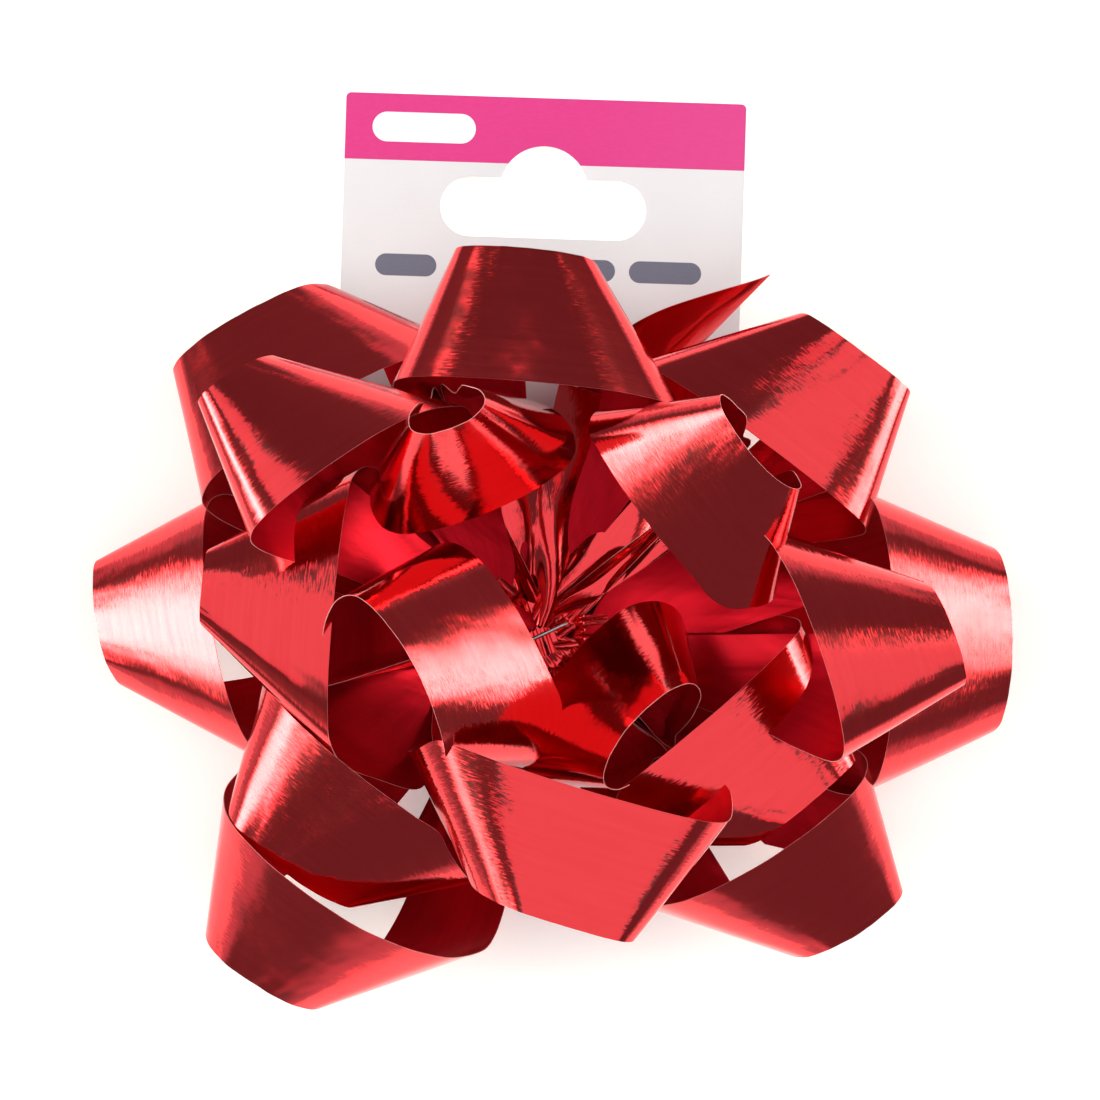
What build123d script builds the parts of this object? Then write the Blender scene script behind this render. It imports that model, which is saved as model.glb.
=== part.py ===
from build123d import *
import os
from math import cos, radians, sin, tan
from typing import NamedTuple

import numpy as np

os.makedirs("parts", exist_ok=True)

# A pre-made star gift bow on its hanging header card. Millimetres and degrees.
# Origin: on the back face of the card, under the staple that holds the bow.
# +Z runs from the card through the bow, +Y towards the card's hanging slot.

# Header card
CARD_WIDTH = 62.0
CARD_TOP = 83.2  # from the staple to the upper edge
CARD_BOTTOM = -20.0
CARD_THICKNESS = 0.4
CARD_SHIFT = -1.6  # the bow isn't stuck quite on the card's centre line
CARD_TURN = -1.8
CARD_CORNER = 0.8
SLOT_LENGTH = 32.0
SLOT_HEIGHT = 9.3
SLOT_BELOW_TOP = 17.1  # from the upper edge to the slot's centre line
SLOT_HUMP_RADIUS = 6.9
SLOT_HUMP_RISE = 5.0  # above the slot's upper edge

# Foundation of the bow
PAD_RADIUS = 13.0
PAD_THICKNESS = 1.0
PAD_CLEARANCE = 0.1  # between the card and the pad's glue face
DISC_RADIUS = 17.0
DISC_THICKNESS = 0.6
STACK_RADIUS = 7.0
STACK_HEIGHT = 3.6
STAPLE_WIDTH = 10.0
STAPLE_WIRE = 0.6
STAPLE_FOOT = 3.4  # each leg's end is folded in under the disc
STAPLE_TURN = 25.0
STAPLE_CLEARANCE = 0.1

PAD_BASE = CARD_THICKNESS + PAD_CLEARANCE
DISC_BASE = PAD_BASE + PAD_THICKNESS
STACK_BASE = DISC_BASE + DISC_THICKNESS
STACK_TOP = STACK_BASE + STACK_HEIGHT

# Ribbon
RIBBON_WIDTH = 20.5
RIBBON_THICKNESS = 0.05
LEG_ROOT_WIDTH = 3.6  # a leg is gathered to this width at the stack
LEG_SEAM = 5.0  # least length over which the two legs lie side by side
LEG_GAP = 0.25  # half the gap between a loop's two legs
LEG_CLEARANCE = 0.35  # between a leg's end and the stack's rim
TIP_CLEARANCE = 1.0  # between a ribbon's far edge and the tip of its cone
FOOT_RADIUS = 5.0  # where an upright loop's legs reach the stack's top
FOOT_HALF_GAP = 0.4
FOOT_WIDTH = 2.0
FOOT_LIFT = 0.3  # of a foot above the stack's top
EGG = 0.25  # how much a loop is fuller above its middle than below it
RULINGS = 15  # straight lines from edge to edge on each side of a loop's crown
BEND_LENGTH = 9.0  # over which an edge turns from straight to gathered
RIM_SHARE = 0.75  # of the way round to the legs, where a level far edge drops to them
STEEPEST = 1.5  # radians; an edge has turned off its straight line by then
SECTION_STEPS = 360
TINY = 1e-6  # keeps a division defined
TAIL_HIGH_EDGE = [(1.2, 7.5, 3.6), (3, 28, 6.5), (12.5, 46.5, 12), (35, 55, 17)]
TAIL_LOW_EDGE = [(4.2, 6.4, 3.2), (12, 22, 3), (17, 33, 2.6), (21, 41, 2.4)]
TAIL_RULINGS = 16


class Loop(NamedTuple):
    """A ribbon wrapped on a cone whose tip lies outboard; both legs come back underneath it."""

    azimuth: float
    elevation: float  # of the line from the root to the cone's tip, where the legs meet
    reach: float  # root to tip
    half_width: float  # the cone's half angle sideways
    half_height: float  # the cone's half angle up and down
    setback: float  # tip to the ribbon's centre line, along the crown
    root_height: float
    roll: float = 0.0
    lean: float = 0.0  # sideways tilt of the crown
    skew: float = 0.0  # turn of the ribbon about the crown, so its edges run aslant
    root_offset: float = 0.0  # from the staple axis to the root point
    rim: float = 90.0  # degrees; the far edge stays level from here round to the legs
    gather: float = 0.42  # where a leg starts to narrow, as a share of its length


LOOPS = {
    # outer ring, lying low
    "loop_outer_right": Loop(0, 0, 102, 22, 13, 44, 2.4, roll=3),
    "loop_outer_upper_right": Loop(42, 10, 85, 27, 11, 29, 3.1, roll=3, lean=-4, skew=-7),
    "loop_outer_top": Loop(93, 15, 80, 27, 14, 29.3, 3.5, skew=8),
    "loop_outer_upper_left": Loop(133, 0, 91, 25, 14, 37, 2.9, roll=5, lean=8, skew=5),
    "loop_outer_left": Loop(178, 1, 84, 26, 15.5, 28.5, 2.5, roll=3, lean=-3, skew=-9),
    "loop_outer_lower_left": Loop(230, 1, 84, 28, 18, 28.9, 2.9, roll=3, skew=-7),
    "loop_outer_lower_right": Loop(317, 2, 82, 26, 16, 28, 4.2, roll=2, lean=8, skew=6),
    # second ring, leaning up over the first
    "loop_middle_right": Loop(1, 23, 83, 25, 18, 25.4, 4.2, roll=-8, lean=-15, skew=-5),
    "loop_middle_upper_left": Loop(140, 24, 78, 27, 19, 21.2, 5, roll=10, lean=12, skew=7),
    "loop_middle_left": Loop(171, 22, 63, 36, 17, 17.6, 3.2, roll=8, lean=6, skew=-7, gather=0.7),
    "loop_middle_lower_left": Loop(221, 9, 71, 30, 16, 29, 4.8, lean=-4, skew=-8, gather=0.3),
    "loop_middle_bottom": Loop(271, 28, 69, 31, 18, 29, 4.2, lean=18),
    "loop_middle_lower_right": Loop(329, 15, 64, 33, 15, 23.9, 3.8, roll=-4, lean=6, skew=12),
    # upright loops round the middle
    "loop_inner_upper_right": Loop(42, 58, 44, 28, 15, 27, 12.5, skew=4, root_offset=33, rim=40),
    "loop_inner_top": Loop(112, 86, 39, 27, 18, 21.5, 17, root_offset=38, rim=40),
    "loop_inner_left": Loop(193, 52, 95, 12, 9, 70, 3.4, skew=-17, root_offset=12, gather=0.7),
    "loop_inner_lower_right": Loop(319, 76, 48, 20, 12.5, 36, 13, root_offset=23),
}


def unit(vector):
    return vector / np.linalg.norm(vector, axis=-1, keepdims=True)


def cone_frame(loop):
    """Tip of the cone, direction root to tip, and the sideways and upward directions across it."""
    azimuth, elevation, roll = radians(loop.azimuth), radians(loop.elevation), radians(loop.roll)
    outward = np.array([cos(azimuth), sin(azimuth), 0])
    pointing = cos(elevation) * outward + sin(elevation) * np.array([0, 0, 1])
    side = np.array([-sin(azimuth), cos(azimuth), 0])
    up = np.cross(pointing, side)
    side, up = cos(roll) * side + sin(roll) * up, cos(roll) * up - sin(roll) * side
    root = loop.root_offset * outward + np.array([0, 0, loop.root_height])
    return root + loop.reach * pointing, pointing, side, up


def cone_section(loop, hand):
    """Ruling directions from the cone's tip, from the crown down one side to the underside."""
    tip, pointing, side, up = cone_frame(loop)
    height = radians(loop.half_height)
    axis = -cos(height) * pointing + sin(height) * up
    crown = cos(height) * up + sin(height) * pointing
    turn = np.linspace(0, np.pi, SECTION_STEPS + 1)[:, None]
    across = hand * tan(radians(loop.half_width)) * np.sin(turn) * (1 + EGG * np.cos(turn))
    across = across + tan(radians(loop.lean)) * (1 + np.cos(turn)) / 2
    return unit(axis + across * side + tan(height) * np.cos(turn) * crown)


def gathered_edge(edge, start, corner, angle):
    """Tip distance of a ribbon edge: straight, then turning off towards a corner on its leg."""
    run_x, run_y = corner[0] - edge, corner[1] - start
    facing = np.maximum(np.cos(angle) * run_y - np.sin(angle) * run_x, TINY)
    leg = (edge * run_y - start * run_x) / facing
    angle = np.minimum(angle, STEEPEST)
    share = np.clip((edge * np.tan(angle) - start) / BEND_LENGTH + 0.5, 0, 1)
    share = share**2 * (3 - 2 * share)
    return (1 - share) * edge / np.cos(angle) + share * leg


def half_loop(loop, hand):
    """Ruling directions and near and far tip distances, from the crown to one leg's end."""
    section = cone_section(loop, hand)
    chords = np.linalg.norm(np.diff(section, axis=0), axis=1)
    unrolled = np.concatenate([[0], np.cumsum(2 * np.arcsin(chords / 2))])
    standing = loop.root_offset > 0
    reach = loop.reach - (0 if standing else STACK_RADIUS + LEG_CLEARANCE)
    last = unrolled[-1] - LEG_GAP / reach
    angle = np.linspace(0, last, RULINGS + 1)
    rays = unit(np.stack([np.interp(angle, unrolled, section[:, k]) for k in range(3)], axis=1))

    start = loop.gather * loop.reach * sin(last)
    angle = angle - hand * radians(loop.skew)
    leg_end = np.array([cos(angle[-1]), sin(angle[-1])])
    inward = np.array([leg_end[1], -leg_end[0]])
    near_edge = loop.setback + RIBBON_WIDTH / 2
    near = gathered_edge(near_edge, start, reach * leg_end + LEG_ROOT_WIDTH * inward, angle)
    near = np.minimum(near, reach)

    far_edge = loop.setback - RIBBON_WIDTH / 2
    meeting = far_edge / max(leg_end[0], TINY)  # where the far edges would meet underneath
    if loop.rim < 90:
        level = radians(loop.rim) * np.tanh(angle / radians(loop.rim))
        share = np.clip((np.abs(angle) / last - RIM_SHARE) / (1 - RIM_SHARE), 0, 1)
        far = (1 - share**2) * far_edge / np.cos(level) + share**2 * (reach - LEG_SEAM)
    elif meeting < reach - LEG_SEAM:
        far = far_edge / np.cos(angle)
    else:
        far = gathered_edge(far_edge, start, (reach - LEG_SEAM) * leg_end, angle)
    return rays, near, np.maximum(np.minimum(far, near - LEG_SEAM / 2), TIP_CLEARANCE)


def foot(loop, hand):
    """Near and far edge points at the top of the stack, where an upright loop's leg ends."""
    azimuth = radians(loop.azimuth)
    outward = np.array([cos(azimuth), sin(azimuth), 0])
    side = np.array([-sin(azimuth), cos(azimuth), 0])
    lift = np.array([0, 0, STACK_TOP + FOOT_LIFT])
    middle = FOOT_RADIUS * outward + hand * FOOT_HALF_GAP * side + lift
    return middle, middle + hand * FOOT_WIDTH * side


def ribbon_curves(loop):
    """Points of the ribbon's near and far edge and its normals, from leg end to leg end."""
    halves = [half_loop(loop, hand) for hand in (-1, 1)]
    rays, near, far = (np.concatenate([a[::-1], b[1:]]) for a, b in zip(*halves))
    tip, pointing, side, up = cone_frame(loop)
    near, far = tip + rays * near[:, None], tip + rays * far[:, None]
    if loop.root_offset > 0:
        feet = [foot(loop, hand) for hand in (-1, 1)]
        near = np.concatenate([[feet[0][0]], near, [feet[1][0]]])
        far = np.concatenate([[feet[0][1]], far, [feet[1][1]]])
    normals = unit(np.cross(near - far, np.gradient(near + far, axis=0)))
    if normals[len(normals) // 2] @ up < 0:
        normals = -normals
    return near, far, normals


def spline(points):
    parameters = list(np.linspace(0, 1, len(points)))
    return Edge.make_spline([Vector(*point) for point in points], parameters=parameters)


def spline_through(points, steps):
    """Points along a smooth curve through a few given ones."""
    curve = Edge.make_spline([Vector(*point) for point in points])
    return np.array([tuple(curve @ step) for step in steps])


def line(start, end):
    return Edge.make_line(Vector(*start), Vector(*end))


def ribbon_strip(near, far, normals, thickness=RIBBON_THICKNESS):
    """A thin closed solid between two edge curves, half the thickness on each side of them."""
    offset = normals * thickness / 2
    corners = [near + offset, far + offset, far - offset, near - offset]
    rails = [spline(points) for points in corners]
    faces = [Face.make_surface_from_curves(rails[k], rails[(k + 1) % 4]) for k in range(4)]
    for end in (0, -1):
        ring = [points[end] for points in corners]
        side_a, side_b = line(ring[0], ring[1]), line(ring[3], ring[2])
        faces.append(Face.make_surface_from_curves(side_a, side_b))
    return Solid(Shell(faces))


def header_card():
    middle = (CARD_TOP + CARD_BOTTOM) / 2
    blank = Pos(0, middle, 0) * RectangleRounded(CARD_WIDTH, CARD_TOP - CARD_BOTTOM, CARD_CORNER)
    slot_height = CARD_TOP - SLOT_BELOW_TOP
    slot = Pos(0, slot_height, 0) * SlotOverall(SLOT_LENGTH, SLOT_HEIGHT)
    hump_centre = slot_height + SLOT_HEIGHT / 2 + SLOT_HUMP_RISE - SLOT_HUMP_RADIUS
    hump = Pos(0, hump_centre, 0) * Circle(SLOT_HUMP_RADIUS)
    card = extrude(blank - slot - hump, CARD_THICKNESS)
    return Rot(0, 0, CARD_TURN) * Pos(CARD_SHIFT, 0, 0) * card


def disc(radius, base, height):
    return Pos(0, 0, base) * extrude(Circle(radius), height)


def staple(wire=STAPLE_WIRE):
    """A crown over the stack, two legs down through it and their ends folded under the disc."""
    half = (STAPLE_WIDTH - STAPLE_WIRE) / 2
    top = STACK_TOP + STAPLE_WIRE / 2
    foot = DISC_BASE - STAPLE_WIRE / 2
    side = [(half - STAPLE_FOOT, foot), (half, foot), (half, top)]
    corners = [(-x, 0, z) for x, z in side] + [(x, 0, z) for x, z in reversed(side)]
    path = FilletPolyline(*corners, radius=STAPLE_WIRE)
    profile = Plane(path @ 0, z_dir=path % 0) * Circle(wire / 2)
    return Rot(0, 0, STAPLE_TURN) * sweep(profile, path)


def ribbon_tail():
    """The ribbon's free end: it rises off the stack, turns onto its edge and is cut at a slant."""
    steps = np.linspace(0, 1, TAIL_RULINGS)
    high, low = (spline_through(points, steps) for points in (TAIL_HIGH_EDGE, TAIL_LOW_EDGE))
    normals = unit(np.cross(np.gradient(high, axis=0), low - high))
    return ribbon_strip(high, low, normals)


staple_hole = staple(STAPLE_WIRE + 2 * STAPLE_CLEARANCE)
nodes = {
    "header_card": header_card(),
    "adhesive_pad": disc(PAD_RADIUS, PAD_BASE, PAD_THICKNESS) - staple_hole,
    "base_disc": disc(DISC_RADIUS, DISC_BASE, DISC_THICKNESS) - staple_hole,
    "ribbon_stack": disc(STACK_RADIUS, STACK_BASE, STACK_HEIGHT) - staple_hole,
    "staple": staple(),
    "ribbon_tail": ribbon_tail(),
}
for name, loop in LOOPS.items():
    nodes[name] = ribbon_strip(*ribbon_curves(loop))

for name, shape in nodes.items():
    export_step(shape, f"parts/{name}.step")
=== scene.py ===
from math import cos, pi, radians, sin, tan
from typing import NamedTuple

import bmesh
import bpy
import numpy as np
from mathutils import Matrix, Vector


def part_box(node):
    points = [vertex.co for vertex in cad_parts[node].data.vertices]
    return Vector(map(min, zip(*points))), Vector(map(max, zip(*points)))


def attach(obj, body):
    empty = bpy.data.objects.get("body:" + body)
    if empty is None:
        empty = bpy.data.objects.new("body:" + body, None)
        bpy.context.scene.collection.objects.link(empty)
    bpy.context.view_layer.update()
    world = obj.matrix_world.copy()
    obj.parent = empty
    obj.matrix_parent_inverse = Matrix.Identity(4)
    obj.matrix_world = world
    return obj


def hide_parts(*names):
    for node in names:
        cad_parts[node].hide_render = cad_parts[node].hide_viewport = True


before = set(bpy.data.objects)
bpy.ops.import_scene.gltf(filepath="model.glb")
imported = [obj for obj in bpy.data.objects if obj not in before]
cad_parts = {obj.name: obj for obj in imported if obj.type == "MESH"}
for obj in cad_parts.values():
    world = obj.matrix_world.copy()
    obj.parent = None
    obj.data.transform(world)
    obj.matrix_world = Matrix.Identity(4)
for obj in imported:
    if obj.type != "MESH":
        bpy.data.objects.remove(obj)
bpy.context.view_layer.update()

# A red foil star bow, stapled to a disc with a glue pad, on its hanging header card.
# Metres and degrees. The origin is on the card's back, under the staple.

# Ribbon, as in the CAD loops
RIBBON_WIDTH = 0.0205
FILM = 0.00012
LEG_ROOT_WIDTH = 0.0036
LEG_SEAM = 0.005
LEG_GAP = 0.00025
LEG_CLEARANCE = 0.00035
FOOT_RADIUS = 0.005
FOOT_HALF_GAP = 0.0004
FOOT_WIDTH = 0.002
FOOT_LIFT = 0.0003
TIP_CLEARANCE = 0.001
EGG = 0.25  # how much broader a loop's section is above its middle
BEND_LENGTH = 0.009
RIM_SHARE = 0.75  # of the way round to the legs, where a level far edge drops to them
STEEPEST = 1.5  # radians
TINY = 1e-6
SECTION_STEPS = 360
RULINGS = 15
ROWS_PER_RULING = 7
COLUMNS = 26
SHARP = 60.0  # faces that meet at more than this are shaded with a sharp edge

# Unevenness of the film: small waves of these lengths and depths, largest at its long edges
RIPPLE_LENGTHS = (0.006, 0.011, 0.017)
RIPPLE_DEPTH = 0.00009
SWAY_LENGTHS = (0.02, 0.033)
SWAY_DEPTH = 0.0003

# Pleats along the ribbon, where it is gathered to less than its flat width. The values that end
# in _PLEATS, here and below, are a pleat's depth for each unit of fullness.
PLEAT_SLACK = 1.05  # flat width over gathered width, at which they begin
PLEAT_FULL = 1.5  # and how much more of it gives them their largest depth
PLEAT_WANDER = 0.25
PLEAT_LENGTHS = (0.03, 0.05)
PLEATED_WIDTH = 0.012  # where the ribbon is narrower than this, they get shallower
NARROWEST = 0.002
LOOP_PLEATS = 0.0005
UPRIGHT_PLEATS = 0.0001

# Texture: one UV unit is 10 mm of ribbon, and each piece starts further along the foil
UV_PER_METRE = 100
UV_START_STEP = 0.31

# Card, in its own frame: turned a little about the staple, and not quite centred on it
CARD_WIDTH = 0.062
CARD_TOP = 0.0832
CARD_SHIFT = -0.0016
CARD_TURN = -1.8
BAND_HEIGHT = 0.0103
MARK_MIDDLE = -0.0188  # plain bar standing for the printed mark in the band
MARK_SIZE = (0.016, 0.0046)
CAPTION_BELOW_TOP = 0.0265
CAPTION_HEIGHT = 0.0034
CAPTION_BARS = [(-0.021, 0.0095), (-0.007, 0.0136), (0.0069, 0.0091), (0.0192, 0.0112)]
CARD_MIDDLE_Z = 0.0002  # above it is the printed front, below it the bare back

# Staple
STAPLE_TURN = 25.0
STAPLE_DENT = 0.0007
DENT_HALF_SIZE = (0.00555, 0.00072)  # along and across the staple
DENT_SLOPE = (0.0005, 0.00045)  # width of the dent's sloping side, along and across

# Foam pad
PAD_RINGS = 36
PAD_SEGMENTS = 144
# Section of its rim from the top down, as shares of the radius and of half the thickness
PAD_RIM = [(0.99, 1.0), (1.0, 0.7), (0.992, 0.3), (0.988, 0.0), (0.992, -0.3), (1.0, -0.7), (0.99, -1.0)]
PAD_UNEVENNESS = 0.05
PAD_SHARP = 50.0
PAD_SEED = 5

# Gathered centre: straps from the loops' legs to the staple
STRAP_START = 0.0105
STRAP_END = -0.0032
STRAP_ROWS = 40
STRAP_WIDTH = 0.0062
STRAP_ROOT_SHARE = 0.72  # of that width, under the staple
STRAP_FLAT = 0.002
FOOT_GAP = 0.0006
STRAP_PLEATS = 0.00018
STRAP_SEED = 60
FOLD_END = 0.0015
FOLD_ROOT_WIDTH = 0.006
FOLD_DROP = 1.4  # exponent: above 1, a fold comes down mostly near its outer end
FOLD_FLARE = 0.8  # exponent: below 1, it widens mostly near the staple
FOLD_PLEATS = 0.0013
FOLD_SEED = 90

# Full-width legs folded in towards the staple between the upright loops:
# azimuth, outer end's radius and height, width there, twist in degrees, foil (1) or matt (-1) up
FOLDS = [
    (143, 0.028, 0.0130, 0.019, 18, -1),
    (104, 0.034, 0.0140, 0.018, -25, 1),
    (74, 0.038, 0.0150, 0.018, 30, 1),
    (55, 0.033, 0.0130, 0.017, -28, 1),
    (22, 0.030, 0.0120, 0.0195, 15, 1),
]

# Edges of the ribbon's free end
TAIL_HIGH_EDGE = [(0.0012, 0.0075, 0.0036), (0.003, 0.028, 0.0065), (0.0125, 0.0465, 0.012),
                  (0.035, 0.055, 0.017)]
TAIL_LOW_EDGE = [(0.0042, 0.0064, 0.0032), (0.012, 0.022, 0.003), (0.017, 0.033, 0.0026),
                 (0.021, 0.041, 0.0024)]
TAIL_STEPS = 24
TAIL_SEED = 40

STACK_LOW, STACK_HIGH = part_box("ribbon_stack")
STACK_RADIUS = STACK_HIGH.x
STACK_TOP = STACK_HIGH.z


class Loop(NamedTuple):
    """A ribbon wrapped on a cone whose tip lies outboard; both legs come back underneath it."""

    azimuth: float
    elevation: float
    reach: float
    half_width: float
    half_height: float
    setback: float
    root_height: float
    roll: float = 0.0
    lean: float = 0.0
    skew: float = 0.0
    root_offset: float = 0.0
    rim: float = 90.0  # degrees; the far edge stays level from here round to the legs
    gather: float = 0.42


LOOPS = {
    "loop_outer_right": Loop(0, 0, 0.102, 22, 13, 0.044, 0.0024, roll=3),
    "loop_outer_upper_right": Loop(42, 10, 0.085, 27, 11, 0.029, 0.0031, roll=3, lean=-4, skew=-7),
    "loop_outer_top": Loop(93, 15, 0.08, 27, 14, 0.0293, 0.0035, skew=8),
    "loop_outer_upper_left": Loop(133, 0, 0.091, 25, 14, 0.037, 0.0029, roll=5, lean=8, skew=5),
    "loop_outer_left": Loop(178, 1, 0.084, 26, 15.5, 0.0285, 0.0025, roll=3, lean=-3, skew=-9),
    "loop_outer_lower_left": Loop(230, 1, 0.084, 28, 18, 0.0289, 0.0029, roll=3, skew=-7),
    "loop_outer_lower_right": Loop(317, 2, 0.082, 26, 16, 0.028, 0.0042, roll=2, lean=8, skew=6),
    "loop_middle_right": Loop(1, 23, 0.083, 25, 18, 0.0254, 0.0042, roll=-8, lean=-15, skew=-5),
    "loop_middle_upper_left": Loop(140, 24, 0.078, 27, 19, 0.0212, 0.005, roll=10, lean=12, skew=7),
    "loop_middle_left": Loop(171, 22, 0.063, 36, 17, 0.0176, 0.0032, roll=8, lean=6, skew=-7, gather=0.7),
    "loop_middle_lower_left": Loop(221, 9, 0.071, 30, 16, 0.029, 0.0048, lean=-4, skew=-8, gather=0.3),
    "loop_middle_bottom": Loop(271, 28, 0.069, 31, 18, 0.029, 0.0042, lean=18),
    "loop_middle_lower_right": Loop(329, 15, 0.064, 33, 15, 0.0239, 0.0038, roll=-4, lean=6, skew=12),
    "loop_inner_upper_right": Loop(42, 58, 0.044, 28, 15, 0.027, 0.0125, skew=4, root_offset=0.033, rim=40),
    "loop_inner_top": Loop(112, 86, 0.039, 27, 18, 0.0215, 0.017, root_offset=0.038, rim=40),
    "loop_inner_left": Loop(193, 52, 0.095, 12, 9, 0.07, 0.0034, skew=-17, root_offset=0.012, gather=0.7),
    "loop_inner_lower_right": Loop(319, 76, 0.048, 20, 12.5, 0.036, 0.013, root_offset=0.023),
}


# ---------------------------------------------------------------- geometry


def unit(vector):
    return vector / np.linalg.norm(vector, axis=-1, keepdims=True)


def cone_frame(loop):
    """Tip of the cone, direction root to tip, and the sideways and upward directions across it."""
    azimuth, elevation, roll = radians(loop.azimuth), radians(loop.elevation), radians(loop.roll)
    outward = np.array([cos(azimuth), sin(azimuth), 0])
    pointing = cos(elevation) * outward + sin(elevation) * np.array([0, 0, 1])
    side = np.array([-sin(azimuth), cos(azimuth), 0])
    up = np.cross(pointing, side)
    side, up = cos(roll) * side + sin(roll) * up, cos(roll) * up - sin(roll) * side
    root = loop.root_offset * outward + np.array([0, 0, loop.root_height])
    return root + loop.reach * pointing, pointing, side, up


def cone_section(loop, hand):
    """Ruling directions from the cone's tip, from the crown down one side to the underside."""
    tip, pointing, side, up = cone_frame(loop)
    height = radians(loop.half_height)
    axis = -cos(height) * pointing + sin(height) * up
    crown = cos(height) * up + sin(height) * pointing
    turn = np.linspace(0, np.pi, SECTION_STEPS + 1)[:, None]
    across = hand * tan(radians(loop.half_width)) * np.sin(turn) * (1 + EGG * np.cos(turn))
    across = across + tan(radians(loop.lean)) * (1 + np.cos(turn)) / 2
    return unit(axis + across * side + tan(height) * np.cos(turn) * crown)


def gathered_edge(edge, start, corner, angle):
    """Tip distance of a ribbon edge: straight, then turning off towards a corner on its leg."""
    run_x, run_y = corner[0] - edge, corner[1] - start
    facing = np.maximum(np.cos(angle) * run_y - np.sin(angle) * run_x, TINY)
    leg = (edge * run_y - start * run_x) / facing
    angle = np.minimum(angle, STEEPEST)
    share = np.clip((edge * np.tan(angle) - start) / BEND_LENGTH + 0.5, 0, 1)
    share = share**2 * (3 - 2 * share)
    return (1 - share) * edge / np.cos(angle) + share * leg


def half_loop(loop, hand):
    """Ruling directions and near and far tip distances, from the crown to one leg's end."""
    section = cone_section(loop, hand)
    chords = np.linalg.norm(np.diff(section, axis=0), axis=1)
    unrolled = np.concatenate([[0], np.cumsum(2 * np.arcsin(chords / 2))])
    standing = loop.root_offset > 0
    reach = loop.reach - (0 if standing else STACK_RADIUS + LEG_CLEARANCE)
    last = unrolled[-1] - LEG_GAP / reach
    angle = np.linspace(0, last, RULINGS + 1)
    rays = unit(np.stack([np.interp(angle, unrolled, section[:, k]) for k in range(3)], axis=1))

    start = loop.gather * loop.reach * sin(last)
    angle = angle - hand * radians(loop.skew)
    leg_end = np.array([cos(angle[-1]), sin(angle[-1])])
    inward = np.array([leg_end[1], -leg_end[0]])
    near_edge = loop.setback + RIBBON_WIDTH / 2
    near = gathered_edge(near_edge, start, reach * leg_end + LEG_ROOT_WIDTH * inward, angle)
    near = np.minimum(near, reach)

    far_edge = loop.setback - RIBBON_WIDTH / 2
    meeting = far_edge / max(leg_end[0], TINY)
    if loop.rim < 90:
        level = radians(loop.rim) * np.tanh(angle / radians(loop.rim))
        share = np.clip((np.abs(angle) / last - RIM_SHARE) / (1 - RIM_SHARE), 0, 1)
        far = (1 - share**2) * far_edge / np.cos(level) + share**2 * (reach - LEG_SEAM)
    elif meeting < reach - LEG_SEAM:
        far = far_edge / np.cos(angle)
    else:
        far = gathered_edge(far_edge, start, (reach - LEG_SEAM) * leg_end, angle)
    return rays, near, np.maximum(np.minimum(far, near - LEG_SEAM / 2), TIP_CLEARANCE)


def foot(loop, hand):
    """Near and far edge points at the top of the stack, where an upright loop's leg ends."""
    azimuth = radians(loop.azimuth)
    outward = np.array([cos(azimuth), sin(azimuth), 0])
    side = np.array([-sin(azimuth), cos(azimuth), 0])
    lift = np.array([0, 0, STACK_TOP + FOOT_LIFT])
    middle = FOOT_RADIUS * outward + hand * FOOT_HALF_GAP * side + lift
    return middle, middle + hand * FOOT_WIDTH * side


def smooth_rows(points, steps):
    """More points along a curve through the given ones (Catmull-Rom)."""
    ends = np.concatenate([[2 * points[0] - points[1]], points, [2 * points[-1] - points[-2]]])
    t = (np.arange(steps) / steps)[:, None]
    spans = []
    for a, b, c, d in zip(ends, ends[1:], ends[2:], ends[3:]):
        cubic = -a + 3 * b - 3 * c + d
        spans.append(0.5 * (2 * b + (c - a) * t + (2 * a - 5 * b + 4 * c - d) * t**2 + cubic * t**3))
    return np.concatenate(spans + [points[-1:]])


def loop_edges(loop):
    """Near and far edge points of a loop, close together, and a direction outwards at its crown."""
    halves = [half_loop(loop, hand) for hand in (-1, 1)]
    rays, near, far = (np.concatenate([a[::-1], b[1:]]) for a, b in zip(*halves))
    tip, pointing, side, up = cone_frame(loop)
    near, far = tip + rays * near[:, None], tip + rays * far[:, None]
    if loop.root_offset > 0:
        feet = [foot(loop, hand) for hand in (-1, 1)]
        near = np.concatenate([[feet[0][0]], near, [feet[1][0]]])
        far = np.concatenate([[feet[0][1]], far, [feet[1][1]]])
    return smooth_rows(near, ROWS_PER_RULING), smooth_rows(far, ROWS_PER_RULING), up


def strap_edges(loop, level):
    """Edges of the gathered ribbon between a loop's leg ends and its layer under the staple."""
    azimuth = radians(loop.azimuth)
    outward = np.array([cos(azimuth), sin(azimuth), 0])
    side = np.array([-sin(azimuth), cos(azimuth), 0])
    standing = loop.root_offset > 0
    start = FOOT_RADIUS + FOOT_GAP if standing else STRAP_START
    run = np.linspace(start, STRAP_END, STRAP_ROWS)
    leg = STACK_TOP + FOOT_LIFT if standing else loop.root_height + run * tan(radians(loop.elevation))
    full = FOOT_RADIUS if standing else STACK_RADIUS
    share = np.clip((run - STRAP_FLAT) / (full - STRAP_FLAT), 0, 1)
    share = share**2 * (3 - 2 * share)
    height = level + share * (leg - level)
    half = STRAP_WIDTH / 2 * (STRAP_ROOT_SHARE + (1 - STRAP_ROOT_SHARE) * share)
    middle = run[:, None] * outward + height[:, None] * np.array([0, 0, 1])
    return middle + half[:, None] * side, middle - half[:, None] * side


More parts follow.
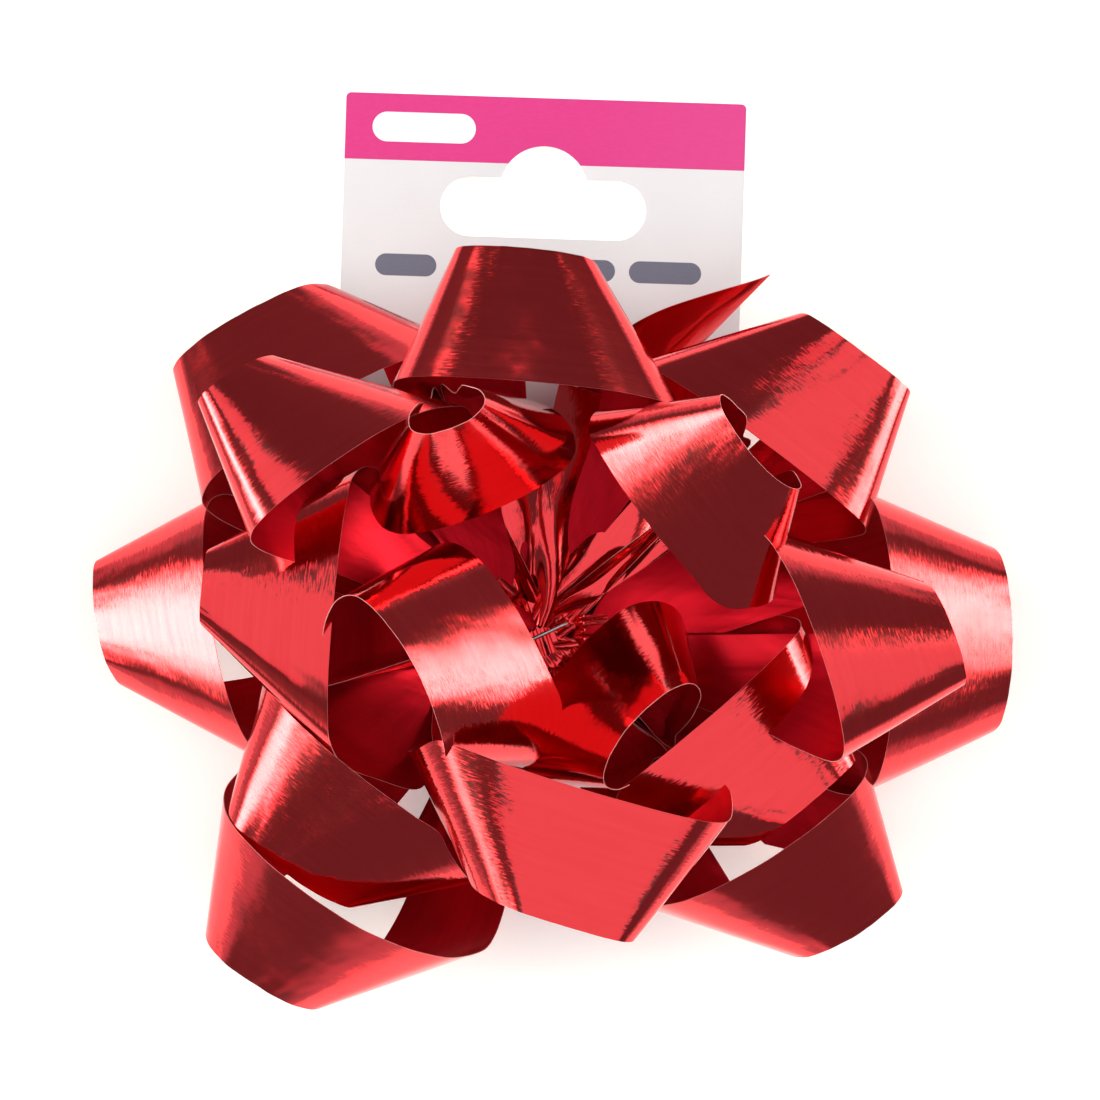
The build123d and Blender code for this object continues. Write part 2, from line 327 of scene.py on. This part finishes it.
def fold_edges(azimuth, reach, height, width, twist):
    """Edges of a full-width leg that comes down, narrowing and untwisting, to the stack's top."""
    azimuth = radians(azimuth)
    outward = np.array([cos(azimuth), sin(azimuth), 0])
    side = np.array([-sin(azimuth), cos(azimuth), 0])
    share = np.linspace(1, 0, 2 * STRAP_ROWS)[:, None]
    run = FOLD_END + share * (reach - FOLD_END)
    drop = share**FOLD_DROP
    middle = run * outward + (STACK_TOP + drop * (height - STACK_TOP)) * np.array([0, 0, 1])
    turn = radians(twist) * share
    across = np.cos(turn) * side + np.sin(turn) * np.array([0, 0, 1])
    half = (FOLD_ROOT_WIDTH + (width - FOLD_ROOT_WIDTH) * share**FOLD_FLARE) / 2
    return middle + half * across, middle - half * across


def waves(x, seed, wavelengths):
    """A smooth uneven line: a few sines of the given wavelengths at seeded phases."""
    rng = np.random.default_rng(seed)
    phases = rng.uniform(0, 2 * pi, len(wavelengths))
    return sum(np.sin(2 * pi * x / w + p) for w, p in zip(wavelengths, phases)) / len(wavelengths)


def face_outwards(mesh):
    """Turn all faces of a closed mesh outwards."""
    bm = bmesh.new()
    bm.from_mesh(mesh)
    bmesh.ops.recalc_face_normals(bm, faces=bm.faces)
    bm.to_mesh(mesh)
    bm.free()


def ribbon_piece(name, near, far, outward, seed, materials, pleats=0.0, folds=2.5):
    """A film of ribbon between two edge curves, with a foil face, a matt face and cut edges.

    Pleats is the depth of its pleats and folds is how many there are across it."""
    rows = len(near)
    share = np.linspace(0, 1, COLUMNS)
    grid = near[:, None] + (far - near)[:, None] * share[None, :, None]
    middle = (near + far) / 2
    along = np.concatenate([[0], np.cumsum(np.linalg.norm(np.diff(middle, axis=0), axis=1))])
    normals = unit(np.cross(near - far, np.gradient(middle, axis=0)))
    if normals[rows // 2] @ outward < 0:
        normals = -normals

    width = np.linalg.norm(far - near, axis=1)
    fullness = np.clip(RIBBON_WIDTH / np.maximum(width, NARROWEST) - PLEAT_SLACK, 0, PLEAT_FULL)
    depth = pleats * fullness * np.minimum(width, PLEATED_WIDTH) / PLEATED_WIDTH
    wander = PLEAT_WANDER * waves(along, seed, PLEAT_LENGTHS)[:, None]
    fold = np.sin(2 * pi * (folds * share[None] + wander)) * np.sin(pi * share)[None] ** 0.5
    ripple = waves(along, seed + 1, RIPPLE_LENGTHS)[:, None] * (2 * share[None] - 1) ** 2
    sway = waves(along, seed + 2, SWAY_LENGTHS)[:, None] * (share[None] - 0.5)
    offset = depth[:, None] * fold + RIPPLE_DEPTH * ripple + SWAY_DEPTH * sway
    grid = grid + offset[..., None] * normals[:, None]

    half = FILM / 2 * normals[:, None]
    layers = np.concatenate([(grid + half).reshape(-1, 3), (grid - half).reshape(-1, 3)])
    mesh = bpy.data.meshes.new(name)
    index = np.arange(rows * COLUMNS).reshape(rows, COLUMNS)
    back = index + rows * COLUMNS
    a, b, c, d = index[:-1, :-1], index[1:, :-1], index[1:, 1:], index[:-1, 1:]
    quads = [np.stack([a, b, c, d], -1).reshape(-1, 4)]
    e, f, g, h = back[:-1, :-1], back[1:, :-1], back[1:, 1:], back[:-1, 1:]
    quads.append(np.stack([e, h, g, f], -1).reshape(-1, 4))
    rims = []
    for line in ((slice(None), 0), (slice(None), -1), (0, slice(None)), (-1, slice(None))):
        top, under = index[line], back[line]
        rims.append(np.stack([top[:-1], top[1:], under[1:], under[:-1]], -1))
    quads.append(np.concatenate(rims))
    faces = np.concatenate(quads)
    mesh.from_pydata(layers.tolist(), [], faces.tolist())
    slots = np.concatenate([np.full(len(q), k) for k, q in enumerate(quads)]).astype(np.int32)
    mesh.polygons.foreach_set("material_index", slots)
    mesh.polygons.foreach_set("use_smooth", np.ones(len(faces), bool))
    for material in materials:
        mesh.materials.append(material)

    uv = mesh.uv_layers.new(name="UVMap")
    across = (share - 0.5) * RIBBON_WIDTH
    flat = np.stack(np.broadcast_arrays(along[:, None], across[None]), -1).reshape(-1, 2)
    flat = (flat + [UV_START_STEP * seed, 0]) * UV_PER_METRE
    flat = np.concatenate([flat, flat])
    corner = np.zeros(len(mesh.loops), np.int32)
    mesh.loops.foreach_get("vertex_index", corner)
    uv.data.foreach_set("uv", flat[corner].astype(np.float32).ravel())

    face_outwards(mesh)
    mesh.set_sharp_from_angle(angle=radians(SHARP))
    piece = bpy.data.objects.new(name, mesh)
    bpy.context.scene.collection.objects.link(piece)
    return piece


def foam_pad(material):
    """A thin foam disc: soft rim, slightly uneven faces, pressed in where the staple's ends lie."""
    low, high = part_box("adhesive_pad")
    radius = high.x
    rng = np.random.default_rng(PAD_SEED)
    rings = np.linspace(0, 1, PAD_RINGS + 1)[1:-1]
    turns = np.linspace(0, 2 * pi, PAD_SEGMENTS + 1)[:-1]
    profile = [(share, 1.0) for share in rings] + PAD_RIM + [(share, -1.0) for share in rings[::-1]]
    share, level = np.array(profile).T
    x = radius * share[:, None] * np.cos(turns)
    y = radius * share[:, None] * np.sin(turns)
    middle, half = (low.z + high.z) / 2, (high.z - low.z) / 2
    uneven = 1 - PAD_UNEVENNESS * rng.random(x.shape) * (np.abs(level)[:, None] == 1)
    z = middle + half * level[:, None] * uneven
    turn = radians(STAPLE_TURN)
    along = np.abs(cos(turn) * x + sin(turn) * y)
    off = np.abs(cos(turn) * y - sin(turn) * x)
    pressed = np.clip((DENT_HALF_SIZE[0] - along) / DENT_SLOPE[0], 0, 1)
    pressed = pressed * np.clip((DENT_HALF_SIZE[1] - off) / DENT_SLOPE[1], 0, 1)
    z = np.where(level[:, None] == 1, z - STAPLE_DENT * pressed, z)
    points = np.stack([x, y, z], -1)
    count = len(turns)
    index = np.arange(points.size // 3).reshape(points.shape[:2])
    after = np.roll(index, -1, axis=1)
    faces = np.stack([index[:-1], index[1:], after[1:], after[:-1]], -1).reshape(-1, 4).tolist()
    top, under = points.size // 3, points.size // 3 + 1
    faces += [(top, index[0, k], index[0, (k + 1) % count]) for k in range(count)]
    faces += [(under, index[-1, (k + 1) % count], index[-1, k]) for k in range(count)]
    ends = [(0, 0, high.z - STAPLE_DENT), (0, 0, low.z)]
    mesh = bpy.data.meshes.new("foam_pad")
    mesh.from_pydata(points.reshape(-1, 3).tolist() + ends, [], faces)
    face_outwards(mesh)
    mesh.polygons.foreach_set("use_smooth", np.ones(len(mesh.polygons), bool))
    mesh.set_sharp_from_angle(angle=radians(PAD_SHARP))
    mesh.materials.append(material)
    pad = bpy.data.objects.new("foam_pad", mesh)
    bpy.context.scene.collection.objects.link(pad)
    return pad


# ---------------------------------------------------------------- materials


def new_material(name, **values):
    """A material with a Principled shader whose named inputs are set, and its node tree."""
    material = bpy.data.materials.new(name)
    material.use_nodes = True
    tree = material.node_tree
    shader = tree.nodes["Principled BSDF"]
    for key, value in values.items():
        shader.inputs[key.replace("_", " ")].default_value = value
    return material, tree, shader


def node(tree, kind, inputs=None, **settings):
    """A new node with its settings, and its inputs linked to sockets or set to values."""
    made = tree.nodes.new(kind)
    for key, value in settings.items():
        setattr(made, key, value)
    for key, value in (inputs or {}).items():
        if isinstance(value, bpy.types.NodeSocket):
            tree.links.new(value, made.inputs[key])
        else:
            made.inputs[key].default_value = value
    return made


def math(tree, operation, *values):
    made = node(tree, "ShaderNodeMath", {k: v for k, v in enumerate(values)}, operation=operation)
    return made.outputs[0]


def uv_noise(tree, scale, detail=4.0, roughness=0.6, offset=(0, 0, 0)):
    """Noise over the ribbon's own length and width, stretched by scale."""
    uv = node(tree, "ShaderNodeUVMap", uv_map="UVMap").outputs[0]
    place = node(tree, "ShaderNodeMapping", {"Vector": uv, "Scale": scale, "Location": offset})
    noise = node(tree, "ShaderNodeTexNoise", {"Vector": place.outputs[0], "Scale": 1.0,
                 "Detail": detail, "Roughness": roughness}, noise_dimensions="3D")
    return noise.outputs["Fac"]


def ramp(tree, value, stops):
    """Colour of a value, blended between stops given as (value, colour)."""
    made = node(tree, "ShaderNodeValToRGB", {"Fac": value})
    points = made.color_ramp.elements
    while len(points) < len(stops):
        points.new(0.5)
    for point, (place, colour) in zip(points, stops):
        point.position = place
        point.color = (*colour, 1)
    return made.outputs[0]


def streaked_normal(tree, streaks, tilt, dents, depth):
    """The film's fine drawn streaks tip its surface along its length only; dents bend it gently."""
    tip = node(tree, "ShaderNodeMapRange", {"Value": streaks, "From Min": 0.25, "From Max": 0.75,
               "To Min": 0.5 - tilt, "To Max": 0.5 + tilt}).outputs[0]
    colour = node(tree, "ShaderNodeCombineColor", {"Red": tip, "Green": 0.5, "Blue": 1.0})
    tipped = node(tree, "ShaderNodeNormalMap", {"Color": colour.outputs[0]}, uv_map="UVMap")
    bent = node(tree, "ShaderNodeBump", {"Height": dents, "Strength": 1.0, "Distance": depth,
                "Normal": tipped.outputs[0]})
    return bent.outputs[0]


def foil_material():
    material, tree, shader = new_material(
        "foil_face", Metallic=1.0, Coat_Weight=0.6, Coat_Roughness=0.12)
    streaks = uv_noise(tree, (7.0, 42.0, 1), detail=3, roughness=0.6)
    bands = uv_noise(tree, (0.5, 12.0, 1), detail=4, roughness=0.7)
    dents = uv_noise(tree, (1.6, 0.9, 1), detail=2, roughness=0.4)
    colour = ramp(tree, bands, [(0.3, (0.74, 0.024, 0.034)), (0.7, (0.79, 0.038, 0.044))])
    tree.links.new(colour, shader.inputs["Base Color"])
    rough = node(tree, "ShaderNodeMapRange", {"Value": bands, "To Min": 0.07, "To Max": 0.13})
    tree.links.new(rough.outputs[0], shader.inputs["Roughness"])
    normal = streaked_normal(tree, streaks, 0.035, dents, 0.00025)
    tree.links.new(normal, shader.inputs["Normal"])
    return material


def satin_material():
    material, tree, shader = new_material(
        "satin_face", Metallic=0.8, Specular_IOR_Level=0.2, Coat_Weight=0.04, Coat_Roughness=0.3)
    streaks = uv_noise(tree, (3.0, 60.0, 1), detail=4, roughness=0.7)
    bands = uv_noise(tree, (0.8, 8.0, 1), detail=3)
    dents = uv_noise(tree, (1.6, 0.9, 1), detail=2, roughness=0.4)
    colour = ramp(tree, bands, [(0.3, (0.47, 0.001, 0.011)), (0.7, (0.56, 0.003, 0.016))])
    tree.links.new(colour, shader.inputs["Base Color"])
    rough = node(tree, "ShaderNodeMapRange", {"Value": streaks, "To Min": 0.34, "To Max": 0.5})
    tree.links.new(rough.outputs[0], shader.inputs["Roughness"])
    normal = streaked_normal(tree, streaks, 0.05, dents, 0.00025)
    tree.links.new(normal, shader.inputs["Normal"])
    return material


def edge_material():
    material, tree, shader = new_material("cut_edge", Roughness=0.35)
    fine = uv_noise(tree, (6.0, 6.0, 1), detail=3)
    colour = ramp(tree, fine, [(0.3, (0.62, 0.16, 0.17)), (0.7, (0.80, 0.34, 0.34))])
    tree.links.new(colour, shader.inputs["Base Color"])
    return material


def vector_math(tree, operation, *values):
    made = node(tree, "ShaderNodeVectorMath", {k: v for k, v in enumerate(values)}, operation=operation)
    return made.outputs["Value" if operation == "LENGTH" else "Vector"]


def object_noise(tree, scale, detail=4.0, roughness=0.6):
    """Noise through the piece's own space, with features of about 1/scale metres."""
    place = node(tree, "ShaderNodeTexCoord").outputs["Object"]
    scaled = node(tree, "ShaderNodeMapping", {"Vector": place, "Scale": scale})
    return node(tree, "ShaderNodeTexNoise", {"Vector": scaled.outputs[0], "Scale": 1.0,
                "Detail": detail, "Roughness": roughness}).outputs["Fac"]


def mix(tree, factor, colour_a, colour_b):
    """Blend of two colours or colour sockets, the second one where the factor is 1."""
    made = node(tree, "ShaderNodeMix", {"Factor": factor}, data_type="RGBA")
    for socket, value in (("A_Color", colour_a), ("B_Color", colour_b)):
        target = next(i for i in made.inputs if i.identifier == socket)
        if isinstance(value, bpy.types.NodeSocket):
            tree.links.new(value, target)
        else:
            target.default_value = (*value, 1)
    return next(o for o in made.outputs if o.identifier == "Result_Color")


def bump(tree, shader, height, depth):
    made = node(tree, "ShaderNodeBump", {"Height": height, "Strength": 1.0, "Distance": depth})
    tree.links.new(made.outputs[0], shader.inputs["Normal"])


def printed_bar(tree, place, centre, size):
    """1 inside a bar with round ends on the card's face, 0 outside it."""
    radius = size[1] / 2
    offset = vector_math(tree, "ABSOLUTE", vector_math(tree, "SUBTRACT", place, (*centre, 0)))
    beyond = vector_math(tree, "SUBTRACT", offset, (size[0] / 2 - radius, 0, 0))
    beyond = vector_math(tree, "MULTIPLY", vector_math(tree, "MAXIMUM", beyond, (0, 0, 0)), (1, 1, 0))
    return math(tree, "LESS_THAN", vector_math(tree, "LENGTH", beyond), radius)


def card_material():
    """Coated board: a magenta band and plain bars printed on the front, bare board on the back; the band
    has a painted sheen, lighter and pinker towards its right end.
    """
    material, tree, shader = new_material("printed_board", Roughness=0.38, Specular_IOR_Level=0.45,
                                          Coat_Weight=0.25, Coat_Roughness=0.25)
    position = node(tree, "ShaderNodeTexCoord").outputs["Object"]
    place = node(tree, "ShaderNodeMapping", {"Vector": position, "Rotation": (0, 0, -radians(CARD_TURN)),
                 "Location": (-CARD_SHIFT, 0, 0)}).outputs[0]
    spread = node(tree, "ShaderNodeSeparateXYZ", {"Vector": place}).outputs
    fibres = object_noise(tree, (900, 2600, 900), detail=4)
    mottle = object_noise(tree, (40, 40, 40), detail=2)
    board = ramp(tree, mottle, [(0.3, (0.685, 0.68, 0.755)), (0.7, (0.73, 0.725, 0.79))])
    # Printed magenta band with a painted sheen: lighter and pinker towards the card's right end
    left_to_right = math(tree, "MULTIPLY_ADD", spread["X"], 0.5 / CARD_WIDTH, 0.5)
    band_print_and_painted_sheen = ramp(tree, left_to_right, [(0.0, (0.66, 0.002, 0.20)), (0.55, (0.65, 0.004, 0.21)),
                                             (1.0, (0.63, 0.035, 0.24))])
    band = math(tree, "GREATER_THAN", spread["Y"], CARD_TOP - BAND_HEIGHT)
    shown = mix(tree, band, board, band_print_and_painted_sheen)
    mark = printed_bar(tree, place, (MARK_MIDDLE, CARD_TOP - BAND_HEIGHT / 2), MARK_SIZE)
    shown = mix(tree, mark, shown, (0.92, 0.90, 0.93))
    for middle, length in CAPTION_BARS:
        word = printed_bar(tree, place, (middle, CARD_TOP - CAPTION_BELOW_TOP), (length, CAPTION_HEIGHT))
        shown = mix(tree, word, shown, (0.115, 0.115, 0.185))
    shown = mix(tree, math(tree, "MULTIPLY", fibres, 0.06), shown, (0.5, 0.5, 0.52))
    front = math(tree, "GREATER_THAN", spread["Z"], CARD_MIDDLE_Z)
    bare = ramp(tree, fibres, [(0.3, (0.62, 0.60, 0.56)), (0.7, (0.72, 0.70, 0.66))])
    tree.links.new(mix(tree, front, bare, shown), shader.inputs["Base Color"])
    bump(tree, shader, fibres, 0.00002)
    return material


def board_material():
    material, tree, shader = new_material("grey_board", Roughness=0.85)
    fibres = object_noise(tree, (1200, 500, 900), detail=5)
    flecks = object_noise(tree, (2600, 2600, 2600), detail=2)
    base = ramp(tree, fibres, [(0.3, (0.52, 0.49, 0.44)), (0.7, (0.66, 0.63, 0.57))])
    speckled = mix(tree, math(tree, "GREATER_THAN", flecks, 0.66), base, (0.36, 0.33, 0.30))
    tree.links.new(speckled, shader.inputs["Base Color"])
    bump(tree, shader, fibres, 0.00004)
    return material


def steel_material():
    material, tree, shader = new_material("staple_steel", Metallic=1.0)
    drawn = object_noise(tree, (600, 600, 4000), detail=4)
    colour = ramp(tree, drawn, [(0.3, (0.56, 0.56, 0.58)), (0.7, (0.72, 0.72, 0.74))])
    tree.links.new(colour, shader.inputs["Base Color"])
    rough = node(tree, "ShaderNodeMapRange", {"Value": drawn, "To Min": 0.16, "To Max": 0.34})
    tree.links.new(rough.outputs[0], shader.inputs["Roughness"])
    bump(tree, shader, drawn, 0.00001)
    return material


def foam_material():
    """White closed-cell foam with a glossy film of glue on its faces."""
    material, tree, shader = new_material("white_foam", Roughness=0.75, Subsurface_Weight=0.15,
                                          Subsurface_Scale=0.0008, Sheen_Weight=0.2)
    place = node(tree, "ShaderNodeTexCoord").outputs["Object"]
    cells = node(tree, "ShaderNodeTexVoronoi", {"Vector": place, "Scale": 2600.0}).outputs["Distance"]
    colour = ramp(tree, cells, [(0.1, (0.70, 0.70, 0.66)), (0.6, (0.86, 0.86, 0.83))])
    tree.links.new(colour, shader.inputs["Base Color"])
    bump(tree, shader, cells, 0.00012)
    return material


# ---------------------------------------------------------------- pieces

foil, satin, edge = foil_material(), satin_material(), edge_material()
ribbon_materials = (foil, satin, edge)

for seed, (name, loop) in enumerate(LOOPS.items()):
    near, far, outward = loop_edges(loop)
    pleats = UPRIGHT_PLEATS if loop.root_offset > 0 else LOOP_PLEATS
    piece = ribbon_piece(name.replace("loop", "ribbon"), near, far, outward, seed, ribbon_materials, pleats)
    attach(piece, "bow")
    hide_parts(name)

# The straps lie one above the other, those of the upright loops on top
layers = sorted(LOOPS, key=lambda name: (LOOPS[name].root_offset > 0, LOOPS[name].root_height))
straps = []
for k, (azimuth, reach, height, width, twist, face) in enumerate(FOLDS):
    one, other = fold_edges(azimuth, reach, height, width, twist)
    straps.append(ribbon_piece(f"fold_{k}", one, other, np.array([0, 0, face]), FOLD_SEED + k,
                               ribbon_materials, pleats=FOLD_PLEATS, folds=1.0))
for k, name in enumerate(layers):
    level = STACK_LOW.z + (k + 0.5) / len(layers) * (STACK_TOP - STACK_LOW.z)
    one, other = strap_edges(LOOPS[name], level)
    straps.append(ribbon_piece(f"strap_{k}", one, other, np.array([0, 0, 1]), STRAP_SEED + k,
                               ribbon_materials, pleats=STRAP_PLEATS))
with bpy.context.temp_override(active_object=straps[0], selected_editable_objects=straps):
    bpy.ops.object.join()
centre = straps[0]
centre.name = "gathered_centre"
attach(centre, "bow")
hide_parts("ribbon_stack")

high, low = (smooth_rows(np.array(points), TAIL_STEPS) for points in (TAIL_HIGH_EDGE, TAIL_LOW_EDGE))
tail = ribbon_piece("ribbon_free_end", high, low, np.array([0, -1, 0.5]), TAIL_SEED, ribbon_materials)
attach(tail, "bow")
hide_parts("ribbon_tail")

pad = foam_pad(foam_material())
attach(pad, "bow")
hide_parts("adhesive_pad")

for name, material in (("header_card", card_material()), ("base_disc", board_material()),
                       ("staple", steel_material())):
    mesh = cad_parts[name].data
    mesh.materials.clear()
    mesh.materials.append(material)

# ---------------------------------------------------------------- stage, light and camera

CAMERA_X, CAMERA_Y, CAMERA_HEIGHT = 0.00155, 0.0132, 0.8
VIEW_WIDTH = 0.17054  # across the picture, at the card's back
SENSOR_WIDTH = 36  # millimetres

camera = bpy.data.objects.new("camera", bpy.data.cameras.new("camera"))
camera.location = (CAMERA_X, CAMERA_Y, CAMERA_HEIGHT)
camera.data.sensor_width = SENSOR_WIDTH
camera.data.lens = SENSOR_WIDTH * CAMERA_HEIGHT / VIEW_WIDTH
camera.data.clip_start = 0.01
bpy.context.scene.collection.objects.link(camera)
bpy.context.scene.camera = camera


def area_light(name, place, aim, size, radiance):
    """A rectangular softbox that the camera doesn't see."""
    light = bpy.data.lights.new(name, "AREA")
    light.shape = "RECTANGLE"
    light.size, light.size_y = size
    light.energy = radiance * size[0] * size[1] * pi
    lamp = bpy.data.objects.new(name, light)
    lamp.location = place
    lamp.rotation_euler = (Vector(aim) - Vector(place)).to_track_quat("-Z", "Y").to_euler()
    lamp.visible_camera = False
    bpy.context.scene.collection.objects.link(lamp)


area_light("ceiling_softbox", (0, -0.21, 1.2), (0, -0.21, 0), (1.9, 1.58), 0.95)

HALF_FLOOR = 3.0
FLOOR_LEVEL = -0.0004

floor_mesh = bpy.data.meshes.new("floor")
floor_mesh.from_pydata([(-HALF_FLOOR, -HALF_FLOOR, 0), (HALF_FLOOR, -HALF_FLOOR, 0),
                        (HALF_FLOOR, HALF_FLOOR, 0), (-HALF_FLOOR, HALF_FLOOR, 0)], [], [(0, 1, 2, 3)])
floor = bpy.data.objects.new("floor", floor_mesh)
floor.location.z = FLOOR_LEVEL
bpy.context.scene.collection.objects.link(floor)
floor_material = new_material("pale_floor", Base_Color=(0.9, 0.9, 0.9, 1), Roughness=0.9,
                              Emission_Color=(1, 1, 1, 1), Emission_Strength=0.3)[0]
floor_mesh.materials.append(floor_material)

world = bpy.data.worlds.new("studio")
world.use_nodes = True
bpy.context.scene.world = world
tree = world.node_tree
direction = node(tree, "ShaderNodeTexCoord").outputs["Generated"]
ways = node(tree, "ShaderNodeSeparateXYZ", {"Vector": direction}).outputs


def side_light(toward, middle, spread, strength):
    """A wide soft light to one side (toward is 1 for +X, -1 for -X), placed and sized by the
    Y and Z parts of its direction."""
    lit = math(tree, "GREATER_THAN", math(tree, "MULTIPLY", ways["X"], toward), 0.0)
    off_y = math(tree, "DIVIDE", math(tree, "SUBTRACT", ways["Y"], middle[0]), spread[0])
    off_z = math(tree, "DIVIDE", math(tree, "SUBTRACT", ways["Z"], middle[1]), spread[1])
    off = math(tree, "ADD", math(tree, "POWER", off_y, 2.0), math(tree, "POWER", off_z, 2.0))
    fall = math(tree, "EXPONENT", math(tree, "MULTIPLY", math(tree, "POWER", off, 1.5), -1.0))
    return math(tree, "MULTIPLY", math(tree, "MULTIPLY", fall, lit), strength)


sky = ramp(tree, ways["Z"], [(0.0, (0.8, 0.8, 0.81)), (0.10, (0.7, 0.7, 0.71)),
                             (0.2, (0.21, 0.21, 0.21)), (1.0, (0.16, 0.16, 0.16))])
glows = side_light(-1, (-0.03, 0.43), (0.30, 0.14), 16.0)
for lamp in (side_light(1, (0.06, 0.46), (0.28, 0.14), 14.0),
             side_light(-1, (0.38, 0.66), (0.10, 0.09), 11.0),
             side_light(1, (0.38, 0.66), (0.10, 0.09), 11.0)):
    glows = math(tree, "ADD", glows, lamp)
warm = node(tree, "ShaderNodeVectorMath", {0: (1.0, 0.98, 0.84), "Scale": glows}, operation="SCALE")
light = node(tree, "ShaderNodeVectorMath", {0: sky, 1: warm.outputs[0]}, operation="ADD")
tree.links.new(light.outputs[0], tree.nodes["Background"].inputs["Color"])
bpy.context.scene.view_settings.view_transform = "Standard"
